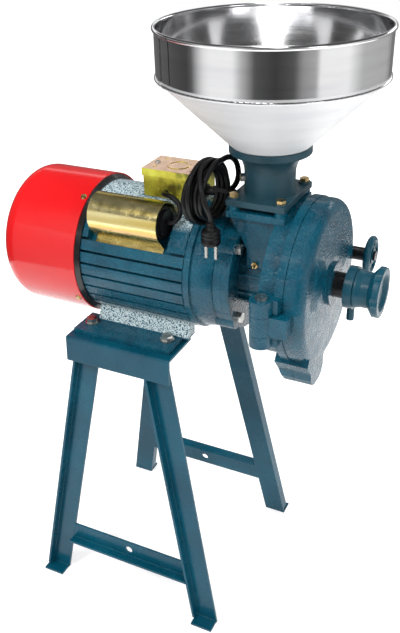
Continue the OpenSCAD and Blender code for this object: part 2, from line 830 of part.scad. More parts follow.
module feed_box() {
    translate([mill_x, flange_half_y - 6, 0]) rotate([90, 0, 0]) {
        linear_extrude(height = 2 * flange_half_y - 12) {
            polygon([
                [-flange_half_x + 5, housing_top - pad_h], [-flange_half_x + 5, housing_top - 20],
                [-12, shaft_z + 44], [-12, shaft_z + 20], [drum_back + 2, shaft_z + 20],
                [drum_back + 2, housing_top - pad_h]
            ]);
        }
    }
    translate([mill_x - flange_half_x, -flange_half_y, housing_top - pad_h - deck_t]) {
        cube([2 * flange_half_x, 2 * flange_half_y, deck_t]);
    }
    for (side = [-1, 1], end = [-1, 1]) {
        translate([mill_x + end * throat_bolt_x, side * throat_bolt_y, housing_top - pad_h - deck_t]) {
            cylinder(h = pad_h + deck_t, r = pad_r);
        }
    }
    translate([mill_x - 2, 0, housing_top - pad_h - deck_t]) cylinder(h = pad_h + deck_t, r = neck_r - 2);
}

module hinge_lug() {
    translate([mill_x + hinge_x, -side_y, hinge_low]) cylinder(h = hinge_high - hinge_low, r = knuckle_r);
    translate([mill_x + hinge_x - knuckle_r + 4, -side_y, hinge_low]) {
        cube([seam - 1 - hinge_x + knuckle_r - 4, side_y - 70, hinge_high - hinge_low]);
    }
}

// Room for the cover's middle knuckle and its web
module hinge_knuckle_space() {
    low = hinge_joint_low - apart;
    high = hinge_joint_high + apart;
    translate([mill_x + hinge_x, -side_y, low]) {
        cylinder(h = high - low, r = knuckle_r + 1.5);
        translate([0, -10, 0]) cube([seam + 1 - hinge_x, web_y + 10 + apart, high - low]);
    }
}

module clamp_lug() {
    rod(seam - 16, seam, ear_r, side_y, clamp_z);
    translate([mill_x + seam - 16, 70, clamp_z - ear_r]) cube([16, side_y - 70, 2 * ear_r]);
}

// The spout's outer body between two stations, blended into the drum
module spout_body(a, b) {
    near = spout_y - spout_w / 2;
    far = spout_y + spout_w / 2;
    intersection() {
        translate([mill_x + a, 0, shaft_z]) rotate([90, 0, 90]) linear_extrude(height = b - a) {
            polygon([
                [near - 16, 18 - drum_r], [near - 2, -drum_r], [near, 12 - spout_drop],
                [near + 5, 4 - spout_drop], [near + 13, -spout_drop],
                [far - 13, -spout_drop], [far - 5, 4 - spout_drop],
                [far, 12 - spout_drop], [far, 3 - drum_r], [far + 24, 12 - drum_r], [far, 40 - drum_r],
                [near, 40 - drum_r]
            ]);
        }
        translate([mill_x, big / 2, shaft_z]) rotate([90, 0, 0]) linear_extrude(height = big) {
            polygon([
                [spout_back, 45 - drum_r], [spout_back, -drum_r], [spout_back + 7, -spout_drop],
                [spout_back + spout_len, -spout_drop], [spout_back + spout_len, 45 - drum_r]
            ]);
        }
    }
}

module spout_passage() {
    inset = spout_wall + 4;
    low = shaft_z - spout_drop - 5;
    translate([mill_x + spout_back + 2 * spout_wall, spout_y - spout_w / 2 + inset, low]) {
        cube([spout_len - 3 * spout_wall, spout_w - 2 * inset, spout_drop - disc_r + 12]);
    }
}

module flange_bolts() {
    color("silver") round_shaft(4, flange_bolt_r, -motor_gap + mill_flange_t, 45) {
        hex_screw(4, mill_flange_t + motor_flange_t + 6, 5.5, 7);
    }
}

module shaft_seal() {
    color("#151515") difference() {
        bar(-motor_gap, -motor_gap + 8, bearing_bore + 6);
        bar(-motor_gap - 1, 0, bearing_bore + running);
    }
}

module nipple_place() {
    translate([mill_x - 1, 6 - flange_half_y, shaft_z + 26]) rotate([90, 0, 0]) children();
}

module grease_nipple() {
    color("goldenrod") nipple_place() {
        translate([0, 0, -8]) cylinder(h = 8, r = 2);
        cylinder(h = 3, r = 4, $fn = 6);
        cylinder(h = 6, r = 2);
        translate([0, 0, 6]) sphere(r = 2.2, $fn = 24);
    }
}

// Helical flight: slices of a narrow sector turned as they advance
module auger() {
    flight_len = fixed_back + 2 + motor_gap - mill_flange_t;
    color("gray") difference() {
        union() {
            bar(-motor_gap + mill_flange_t + 1, fixed_front - 1, 15);
            translate([mill_x - motor_gap + mill_flange_t + 2, 0, shaft_z]) rotate([0, 90, 0]) {
                linear_extrude(height = flight_len, twist = -360 * flight_len / auger_pitch, slices = 48) {
                    translate([0, -3]) square([auger_r, 6]);
                }
            }
        }
        bar(-motor_gap, seam, bearing_bore);
    }
}

// Cutting grooves of a disc: slanting furrows from the eye to the rim, shorter ones between
module furrows(face) {
    for (i = [0 : 23]) {
        translate([mill_x + face, 0, shaft_z]) rotate([i * 15, 0, 0]) {
            translate([-furrow_depth, 10, 30]) rotate([14, 0, 0]) cube([2 * furrow_depth, 2.6, disc_r]);
        }
        translate([mill_x + face, 0, shaft_z]) rotate([i * 15 + 7.5, 0, 0]) {
            translate([-furrow_depth / 2, 14, 50]) rotate([14, 0, 0]) cube([furrow_depth, 2, disc_r]);
        }
    }
}

module fixed_grinding_disc() {
    color("gray") difference() {
        bar(fixed_back, fixed_front, disc_r);
        bar(fixed_back - 1, fixed_front + 1, tube_bore_r + 1);
        furrows(fixed_front);
        round_shaft(3, disc_r - 12, fixed_back - 1, 90) cylinder(h = disc_t + 2, r = 2.6);
        round_shaft(3, disc_r - 12, fixed_front - 4, 90) cylinder(h = 5, r = 5.5);
    }
}

module moving_grinding_disc() {
    color("gray") difference() {
        bar(moving_back, moving_front, disc_r);
        bar(moving_back - 1, moving_front + 1, 20);
        furrows(moving_back);
        round_shaft(3, disc_r - 30, moving_back - 1, 30) cylinder(h = disc_t + 2, r = 2.6);
        round_shaft(3, disc_r - 30, moving_back - 1, 30) cylinder(h = 5, r = 5.5);
    }
}

module disc_carrier() {
    color("dimgray") difference() {
        union() {
            bar(moving_front, carrier_front, disc_r - 14);
            bar(moving_back + 1, hub_front, 20);
        }
        bar(moving_back, shaft_end + apart + 0.2, bearing_bore + running);
        round_shaft(3, disc_r - 30, moving_back, 30) cylinder(h = 30, r = 2.5);
    }
}

module disc_screws() {
    color("silver") round_shaft(3, disc_r - 12, fixed_front - 4, 90) round_screw(2.5, 9, 3, 5);
}

module carrier_screws() {
    color("silver") round_shaft(3, disc_r - 30, moving_back + 4, 30) {
        rotate([180, 0, 0]) round_screw(2.5, 9, 3, 5);
    }
}

module front_cover() {
    color("#1b5f73") difference() {
        union() {
            turned(concat(
                [[0, seam + apart], [drum_r - 1, seam + apart]],
                quarter([drum_r - 1 - cover_round, cover_front - cover_round], [cover_round, cover_round]),
                [[32, cover_front + 2], [0, cover_front + 2]]
            ));
            bar(cover_front, cover_boss, 26);
            spout_body(seam + apart, spout_back + spout_len);
            bar(screw_back - 4, cover_front, 24);
            rod(seam + apart, ear_front, ear_r, side_y, clamp_z);
            translate([mill_x + seam + apart, 70, clamp_z - ear_r]) {
                cube([ear_front - seam - apart, side_y - 70, 2 * ear_r]);
            }
            cover_knuckle();
        }
        difference() {
            bar(seam - 1, screw_back, chamber_r);
            bar(screw_back - 4, cover_front, 24);
        }
        bar(0, cover_boss + 1, screw_r + running);
        spout_passage();
        rod(seam - 1, ear_front + 1, clamp_r + running, side_y, clamp_z);
        translate([mill_x + hinge_x, -side_y, 0]) cylinder(h = big, r = hinge_pin_r + running);
    }
}

module cover_knuckle() {
    h = hinge_joint_high - hinge_joint_low;
    translate([mill_x + hinge_x, -side_y, hinge_joint_low]) cylinder(h = h, r = knuckle_r);
    translate([mill_x + hinge_x + 5, -side_y - 6, hinge_joint_low]) {
        cube([ear_front - 5 - hinge_x, web_y + 6, h]);
    }
    translate([mill_x + seam + apart, -side_y - 6, hinge_joint_low]) {
        cube([ear_front - seam - apart, side_y - 74, h]);
    }
}

module hinge_pin() {
    color("silver") translate([mill_x + hinge_x, -side_y, hinge_low - 3]) {
        cylinder(h = hinge_high - hinge_low + 3, r = hinge_pin_r);
        translate([0, 0, hinge_high - hinge_low + 3]) cylinder(h = 3, r = hinge_pin_r + 3);
    }
}

module thrust_pin() {
    color("silver") {
        bar(pin_back, screw_back - apart, 9);
        bar(screw_back - 1, screw_back + 16, 5);
    }
}

module adjusting_screw() {
    color("#202020") difference() {
        bar(screw_back, wheel_front - 8, screw_r);
        bar(screw_back - 1, screw_back + 17, 5 + running);
    }
}

module adjusting_handwheel() {
    color("#1b4250") difference() {
        turned([
            [0, wheel_back], [wheel_hub_r, wheel_back], [wheel_hub_r, wheel_back + 3],
            [wheel_waist_r, wheel_back + 8], [wheel_waist_r, wheel_front - 14], [wheel_r, wheel_front - 7],
            [wheel_r, wheel_front - 1.5], [wheel_r - 1.5, wheel_front], [0, wheel_front]
        ]);
        bar(wheel_back - 1, wheel_front - 8, screw_r);
        turned([
            [0, wheel_front - 4], [wheel_hub_r - 4, wheel_front - 4], [wheel_r - 7, wheel_front + 1],
            [0, wheel_front + 1]
        ]);
        round_shaft(wheel_lobes, wheel_r + 6, wheel_front - 16) cylinder(h = 20, r = 9);
    }
}

module lock_ring() {
    color("#1b4250") difference() {
        union() {
            bar(lock_back, lock_back + lock_t, lock_r);
            translate([mill_x + lock_back + lock_t / 2, 0, shaft_z - lock_r - 17]) cylinder(h = 20, r = 4.5);
        }
        bar(lock_back - 1, lock_back + lock_t + 1, screw_r + running);
    }
}

module clamp_washer() {
    color("silver") difference() {
        rod(ear_front, ear_front + 2.5, 8.7, side_y, clamp_z);
        rod(ear_front - 1, ear_front + 4, clamp_r + running, side_y, clamp_z);
    }
}

module clamp_screw() {
    color("#202020") {
        rod(seam - 8, ear_front + 37, clamp_r, side_y, clamp_z);
        rod(ear_front + 2.5, clamp_wheel_back, 8.5, side_y, clamp_z);
    }
}

module clamp_handwheel() {
    back = clamp_wheel_back;
    front = back + clamp_wheel_t;
    rim = clamp_wheel_t / 2 + 0.5;
    color("#1b4250") difference() {
        union() {
            rod(back, front, clamp_r + 4, side_y, clamp_z);
            rod(back + 1.5, front - 1.5, clamp_wheel_r - rim, side_y, clamp_z);
            translate([mill_x + (back + front) / 2, side_y, clamp_z]) rotate([0, 90, 0]) {
                rotate_extrude() translate([clamp_wheel_r - rim, 0]) circle(r = rim);
            }
        }
        rod(back - 1, front + 1, clamp_r, side_y, clamp_z);
        for (i = [0 : 4]) {
            translate([mill_x + back, side_y, clamp_z]) rotate([i * 72, 0, 0]) {
                translate([0, 0.62 * clamp_wheel_r, 0]) rotate([0, 90, 0]) cylinder(h = clamp_wheel_t, r = 4);
            }
        }
    }
}

// ---------- feed ----------

module feed_throat() {
    color("#2a4f5e") difference() {
        union() {
            translate([mill_x, 0, 0]) rotate_extrude($fn = 96) polygon(concat(
                [[0, housing_top], [neck_r, housing_top]],
                quarter([seat_r, seat_z - seat_lip - flare_h], [neck_r - seat_r, flare_h]),
                [[seat_r, seat_z - 1.2], [seat_r - 1.2, seat_z], [0, seat_z]]
            ));
            translate([mill_x - flange_half_x, -flange_half_y, housing_top]) {
                cube([2 * flange_half_x, 2 * flange_half_y, flange_top - housing_top - 2]);
            }
            for (side = [-1, 1], end = [-1, 1]) {
                translate([mill_x + end * throat_bolt_x, side * throat_bolt_y, housing_top]) {
                    cylinder(h = flange_top - housing_top, r = pad_r);
                }
            }
        }
        translate([mill_x, 0, housing_top - 1]) cylinder(h = 80, r = throat_bore_r);
        translate([mill_x, 0, 0]) rotate_extrude($fn = 96) polygon([
            [0, seat_z - seat_r + 1.5], [seat_r - 1.5, seat_z], [seat_r - 1.5, seat_z + 1],
            [0, seat_z + 1]
        ]);
        for (side = [-1, 1], end = [-1, 1]) {
            translate([mill_x + end * throat_bolt_x, side * throat_bolt_y, housing_top - 1]) {
                cylinder(h = 20, r = 3.2);
            }
        }
        set_screw_place() cylinder(h = 20, r = 2.5, center = true);
    }
}

module throat_bolts() {
    color("goldenrod") for (side = [-1, 1], end = [-1, 1]) {
        translate([mill_x + end * throat_bolt_x, side * throat_bolt_y, flange_top]) {
            hex_screw(3, 20, 4, 5.5);
        }
    }
}

module set_screw_place() {
    translate([mill_x, 0, seat_z - 37]) rotate([0, 0, 215]) {
        translate([neck_r, 0, 0]) rotate([0, 90, 0]) children();
    }
}

module hopper_set_screw() {
    color("silver") set_screw_place() hex_screw(2.5, 6, 5, 5);
}

module hopper() {
    r = hopper_d / 2 - 2.5;
    slope_r = seat_r - 1.8;
    color("silver") translate([mill_x, 0, 0]) {
        rotate_extrude($fn = 128) {
            polygon([
                [r, band_z], [r, rim_z - 2.2], [r - hopper_t, rim_z - 2.2], [r - hopper_t, band_z + 0.4],
                [slope_r - hopper_t, seat_z + 0.4], [throat_bore_r - 1.5, seat_z - slope_r + throat_bore_r],
                [throat_bore_r - 1.5, seat_z - 42], [throat_bore_r - 0.5, seat_z - 42],
                [throat_bore_r - 0.5, seat_z - slope_r + throat_bore_r - 0.4], [slope_r, seat_z]
            ]);
            translate([r, rim_z - 2.2]) circle(r = 2.2);
            translate([r, band_z]) circle(r = 1.6);
        }
        rotate([0, 0, 222]) rotate_extrude(angle = 5, $fn = 128) {
            translate([r - 0.1, band_z + 1]) square([hopper_t, band_h - 4]);
        }
    }
}

// ---------- mains cord ----------

function unit(v) = v / norm(v);
function tangent(p, i) = unit(p[min(i + 1, len(p) - 1)] - p[max(i - 1, 0)]);
function side_of(t) = unit(cross(t, abs(t[2]) > 0.9 ? [1, 0, 0] : [0, 0, 1]));

// Each ring's first direction, carried on from the ring before so that the tube doesn't twist
function carried(p, i) = i == 0 ? side_of(tangent(p, 0)) :
    let (before = carried(p, i - 1), t = tangent(p, i)) unit(before - (before * t) * t);

// A round tube swept along points
module tube_along(p, r) {
    n = len(p);
    s = cord_sides;
    rings = [
        for (i = [0 : n - 1])
            let (t = tangent(p, i), u = carried(p, i), v = cross(t, u))
                for (k = [0 : s - 1]) p[i] + r * (cos(360 * k / s) * u + sin(360 * k / s) * v)
    ];
    lower = [
        for (i = [0 : n - 2], k = [0 : s - 1]) [i * s + k, (i + 1) * s + (k + 1) % s, i * s + (k + 1) % s]
    ];
    upper = [
        for (i = [0 : n - 2], k = [0 : s - 1]) [i * s + k, (i + 1) * s + k, (i + 1) * s + (k + 1) % s]
    ];
    first_end = [for (k = [1 : s - 2]) [0, k, k + 1]];
    last_end = [for (k = [1 : s - 2]) [(n - 1) * s, (n - 1) * s + k + 1, (n - 1) * s + k]];
    polyhedron(points = rings, faces = concat(lower, upper, first_end, last_end));
}

module mains_cord() {
    color("#151515") translate([mill_x + box_mid, 0, 0]) {
        tube_along(cord_in, cord_r);
        tube_along(cord_out, cord_r);
    }
}

// The wound part of the cord, turns laid four wide and two deep
module cord_coil() {
    color("#151515") translate([mill_x + box_mid, 0, 0]) translate(coil_at) {
        rotate([0, 0, coil_turn]) rotate([0, 90, 0]) rotate_extrude() {
            translate([coil_r, 0]) square([4 * cord_r, 8 * cord_r], center = true);
        }
    }
}

module mains_plug() {
    color("#151515") translate([mill_x + box_mid, 0, 0]) translate(plug_at) {
        cylinder(h = 18, r = 11);
        translate([0, 0, 18]) cylinder(h = 8, r1 = 9, r2 = 4.5);
    }
}

module plug_pins() {
    color("silver") translate([mill_x + box_mid, 0, 0]) translate(plug_at) {
        for (side = [-1, 1]) translate([side * 6, 0, -17]) cylinder(h = 17, r = 2.4);
    }
}

near_rail();
near_left_leg();
near_right_leg();
near_crossbar();
far_rail();
far_left_leg();
far_right_leg();
far_crossbar();
foot_bolts();
motor_frame();
stator();
windings();
rear_end_shield();
front_end_shield();
tie_bolts();
rear_bearing();
front_bearing();
motor_shaft();
rotor_core();
cooling_fan();
fan_cover();
fan_cover_screws();
capacitor();
capacitor_cover();
terminal_box();
terminal_box_lid();
lid_screws();
capacitor_lead();
cable_gland();
mill_housing();
flange_bolts();
shaft_seal();
grease_nipple();
auger();
fixed_grinding_disc();
moving_grinding_disc();
disc_carrier();
disc_screws();
carrier_screws();
front_cover();
hinge_pin();
thrust_pin();
adjusting_screw();
adjusting_handwheel();
lock_ring();
clamp_washer();
clamp_screw();
clamp_handwheel();
feed_throat();
throat_bolts();
hopper();
hopper_set_screw();
mains_cord();
cord_coil();
mains_plug();
plug_pins();
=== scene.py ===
import json
import math

import bmesh
import bpy
from mathutils import Matrix, Vector


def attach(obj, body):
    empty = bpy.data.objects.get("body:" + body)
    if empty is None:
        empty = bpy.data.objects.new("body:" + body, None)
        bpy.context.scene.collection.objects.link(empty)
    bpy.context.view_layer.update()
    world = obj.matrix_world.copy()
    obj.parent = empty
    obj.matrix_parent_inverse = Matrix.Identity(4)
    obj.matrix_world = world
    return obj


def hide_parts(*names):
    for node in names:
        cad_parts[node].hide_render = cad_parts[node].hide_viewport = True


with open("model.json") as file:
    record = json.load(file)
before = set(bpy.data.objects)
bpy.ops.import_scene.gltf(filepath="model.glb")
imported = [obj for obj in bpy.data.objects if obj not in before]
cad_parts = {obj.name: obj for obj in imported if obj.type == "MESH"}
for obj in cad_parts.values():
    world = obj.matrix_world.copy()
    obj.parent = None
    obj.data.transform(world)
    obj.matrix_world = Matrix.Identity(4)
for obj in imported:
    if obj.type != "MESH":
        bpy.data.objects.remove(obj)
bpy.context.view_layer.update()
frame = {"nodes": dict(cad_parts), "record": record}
nodes = frame["nodes"]
scene = bpy.context.scene

MM = 0.001
# Places along the shaft in metres: the hopper's axis and the terminal box's middle
HOPPER_X = 0.09635
BOX_X = -0.01965


# ---------- camera ----------

CAMERA_AT = Vector((0.41105, -0.8099, 0.9328))
CAMERA_TURN = math.radians(26.75)
CAMERA_PITCH = math.radians(29.83)
CAMERA_ROLL = math.radians(-1.62)
CAMERA_LENS = 45.76
CAMERA_SENSOR = 36


def make_camera():
    """A camera where the photograph's was, turned from +Y, pitched down and rolled."""
    turn, pitch, roll = CAMERA_TURN, CAMERA_PITCH, CAMERA_ROLL
    forward = Vector((-math.sin(turn) * math.cos(pitch), math.cos(turn) * math.cos(pitch), -math.sin(pitch)))
    level = Vector((math.cos(turn), math.sin(turn), 0))
    upright = level.cross(forward)
    right = level * math.cos(roll) + upright * math.sin(roll)
    up = upright * math.cos(roll) - level * math.sin(roll)
    data = bpy.data.cameras.new("camera")
    data.sensor_fit = "VERTICAL"
    data.sensor_height = CAMERA_SENSOR
    data.lens = CAMERA_LENS
    data.clip_start = 0.01
    camera = bpy.data.objects.new("camera", data)
    scene.collection.objects.link(camera)
    axes = Matrix((right, up, -forward)).transposed().to_4x4()
    camera.matrix_world = Matrix.Translation(CAMERA_AT) @ axes
    scene.camera = camera


make_camera()


# ---------- cords ----------

CORD_RADIUS = 0.0032
LEAD_RADIUS = 0.003

# These places are in millimetres, measured from the terminal box's middle as the CAD's own are
PLUG_AT = (79, -80, 560)
CORD_FROM_GLAND = [
    (50, -2, 589.5), (54, -2, 589.7), (58.7, -2, 590.4), (65, -2, 593), (70.4, -2, 597.1),
    (74.5, -2, 602.5), (77.1, -2, 608.8), (78, -2, 615.5), (77.8, -2.9, 622.2), (77.4, -5.4, 628.5),
    (76.7, -9.5, 633.9), (75.7, -14.8, 638), (74.6, -21, 640.6), (73.5, -27.6, 641.5),
]
CORD_TO_PLUG = [
    (67.8, -79.3, 622.9), (70.8, -82.5, 617.2), (73.6, -84.2, 611.1), (75.9, -84.1, 604.9),
    (77.6, -82.6, 598.9), (78.7, -80.7, 593.4), (79, -80, 589.5), (79, -80, 586),
]
CAPACITOR_ROUTE = [
    (-6, -23, 588), (-6, -28, 588), (-3, -34, 590), (4, -39, 591.5), (13, -41.5, 590), (20.5, -44, 586),
    (25, -48, 580), (25.5, -52.5, 573), (22, -56, 568), (17, -57, 566), (12, -57, 566),
]

COIL_MIDDLE = Vector((61, -46, 606.1))
COIL_RADIUS = 32
COIL_TURN = math.radians(-10)
COIL_AXIS = Vector((math.cos(COIL_TURN), math.sin(COIL_TURN), 0))
COIL_SIDE = Vector((-math.sin(COIL_TURN), math.cos(COIL_TURN), 0))
# The winding: degrees past the coil's top, place along its axis and radius in millimetres.
# Three turns cross the coil on the inside, then nearly two go back over them on the outside.
WINDING = [
    (-22, 9.4, 38), (0, 9.8, 35), (22, 9.9, 31.4), (45, 9.8, 28.9), (1125, -9.6, 28.85),
    (1185, -9.6, 35.3), (1825, 1.95, 35.3), (1840, 4.6, 35.3),
]
WINDING_STEP = 15

# The plug's outline as radius and height in millimetres: a flat end, a body with two finger
# grooves, and a neck with two ribs that guards the cord
PLUG_OUTLINE = [
    (0, 0), (9.4, 0), (10.5, 0.7), (11, 2), (11, 7.4), (10.2, 8.2), (10.2, 9.6), (11, 10.4), (11, 11.6),
    (10.2, 12.4), (10.2, 13.8), (10.8, 14.6), (10.3, 16.2), (8.6, 17.6), (6.4, 18.4), (5.7, 19.4),
    (5.6, 20.4), (4.6, 20.9), (4.6, 21.5), (5.3, 22), (5.2, 22.9), (4.4, 23.4), (4.4, 24), (4.9, 24.5),
    (4.7, 25.6), (4.2, 26), (0, 26),
]
PLUG_SIDES = 48

# The strap round the coil: degrees past the coil's top, then millimetres
TIE_ANGLE = -104
TIE_WIDTH = 5
TIE_DEPTH = 14.6
TIE_SPAN = 27
TIE_ROUND = 4.2
TIE_THICK = 0.9


def in_row(point):
    """A place given in millimetres from the terminal box's middle, in metres from the origin."""
    x, y, z = point
    return Vector((BOX_X + x * MM, y * MM, z * MM))


def coil_outward(angle):
    """The way out from the coil's axis, at an angle in degrees past its top."""
    turn = math.radians(angle)
    return Vector((0, 0, math.cos(turn))) - COIL_SIDE * math.sin(turn)


def on_coil(angle, along, radius):
    return COIL_MIDDLE + coil_outward(angle) * radius + COIL_AXIS * along


def coil_turns():
    """The cord's points round the coil, evenly spaced in angle between the winding's stations."""
    points = []
    for angle in range(WINDING[0][0], WINDING[-1][0], WINDING_STEP):
        for (start, along_0, radius_0), (end, along_1, radius_1) in zip(WINDING, WINDING[1:]):
            if start <= angle < end:
                share = (angle - start) / (end - start)
                along = along_0 + (along_1 - along_0) * share
                points.append(on_coil(angle, along, radius_0 + (radius_1 - radius_0) * share))
    return points


def round_lead(name, route, radius):
    """A round lead. Its radius is set on its points, because a curve's box grows by theirs."""
    line = bpy.data.curves.new(name, "CURVE")
    line.dimensions = "3D"
    line.bevel_depth = 1.0
    line.bevel_resolution = 3
    line.resolution_u = 5
    line.use_fill_caps = True
    spline = line.splines.new("BEZIER")
    spline.bezier_points.add(len(route) - 1)
    for point, place in zip(spline.bezier_points, route):
        point.co = in_row(place)
        point.radius = radius
        point.handle_left_type = "AUTO"
        point.handle_right_type = "AUTO"
    lead = bpy.data.objects.new(name, line)
    scene.collection.objects.link(lead)
    return lead


def keep(name, form, body="base", smooth=True):
    """Makes the finished form a piece of the object, on the body that carries it."""
    mesh = bpy.data.meshes.new(name)
    form.to_mesh(mesh)
    form.free()
    for face in mesh.polygons:
        face.use_smooth = smooth
    piece = bpy.data.objects.new(name, mesh)
    scene.collection.objects.link(piece)
    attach(piece, body)
    return piece


def turned(place, outline, sides):
    """A form turned on a lathe from radius and height pairs, in metres."""
    form = bmesh.new()
    line = [form.verts.new((radius, 0, height)) for radius, height in outline]
    edges = [form.edges.new(pair) for pair in zip(line, line[1:])]
    bmesh.ops.spin(
        form, geom=line + edges, cent=(0, 0, 0), axis=(0, 0, 1), angle=math.tau, steps=sides, use_merge=True
    )
    bmesh.ops.remove_doubles(form, verts=form.verts, dist=1e-6)
    bmesh.ops.recalc_face_normals(form, faces=form.faces)
    bmesh.ops.transform(form, matrix=place, verts=form.verts)
    return form


def moulded_plug():
    outline = [(radius * MM, height * MM) for radius, height in PLUG_OUTLINE]
    form = turned(Matrix.Translation(in_row(PLUG_AT)), outline, PLUG_SIDES)
    plug = keep("moulded_plug", form)
    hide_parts("mains_plug")
    return plug


def coil_tie():
    """A soft strap round the coil's turns: a box without ends, with rounded corners and a wall."""
    outward = coil_outward(TIE_ANGLE)
    form = bmesh.new()
    bmesh.ops.create_cube(form, size=MM)
    ends = [face for face in form.faces if abs(face.normal.z) > 0.9]
    corners = [edge for edge in form.edges if edge.verts[0].co.z * edge.verts[1].co.z < 0]
    bmesh.ops.delete(form, geom=ends, context="FACES_ONLY")
    bmesh.ops.scale(form, vec=(TIE_DEPTH, TIE_SPAN, TIE_WIDTH), verts=form.verts)
    bmesh.ops.bevel(
        form, geom=corners, affect="EDGES", offset=TIE_ROUND * MM, segments=6, profile=0.5, material=-1
    )
    bmesh.ops.recalc_face_normals(form, faces=form.faces)
    bmesh.ops.solidify(form, geom=form.faces[:], thickness=TIE_THICK * MM)
    bmesh.ops.recalc_face_normals(form, faces=form.faces)
    axes = Matrix((outward, COIL_AXIS, outward.cross(COIL_AXIS))).transposed().to_4x4()
    middle = in_row(on_coil(TIE_ANGLE, 0, COIL_RADIUS))
    bmesh.ops.transform(form, matrix=Matrix.Translation(middle) @ axes, verts=form.verts)
    return keep("coil_tie", form, smooth=False)


def make_cords():
    plug = moulded_plug()
    tie = coil_tie()
    cord = round_lead("power_cord", CORD_FROM_GLAND + coil_turns() + CORD_TO_PLUG, CORD_RADIUS)
    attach(cord, "base")
    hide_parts("mains_cord", "cord_coil")
    lead = round_lead("capacitor_wires", CAPACITOR_ROUTE, LEAD_RADIUS)
    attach(lead, "base")
    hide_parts("capacitor_lead")
    return [cord, lead, plug, tie]


leads = make_cords()


# ---------- node trees ----------


class Nodes:
    """A node tree, with short ways to add to it."""

    def __init__(self, tree):
        self.tree = tree

    def add(self, kind, **settings):
        node = self.tree.nodes.new(kind)
        for key, value in settings.items():
            setattr(node, key, value)
        return node

    def link(self, a, b):
        self.tree.links.new(a, b)

    def maths(self, operation, a, b=0.0):
        node = self.add("ShaderNodeMath", operation=operation)
        for socket, value in zip(node.inputs, (a, b)):
            if isinstance(value, (int, float)):
                socket.default_value = value
            else:
                self.link(value, socket)
        return node.outputs[0]

    def spread(self, value, low, high, start=0.35, end=0.65):
        """Low at start and high at end, even between them and flat beyond."""
        node = self.add("ShaderNodeMapRange")
        node.inputs["From Min"].default_value = start
        node.inputs["From Max"].default_value = end
        node.inputs["To Min"].default_value = low
        node.inputs["To Max"].default_value = high
        self.link(value, node.inputs["Value"])
        return node.outputs["Result"]

    def seen(self):
        """One for what the camera and reflections see, and nothing for other light."""
        path = self.add("ShaderNodeLightPath")
        return self.maths("MAXIMUM", path.outputs["Is Camera Ray"], path.outputs["Is Glossy Ray"])


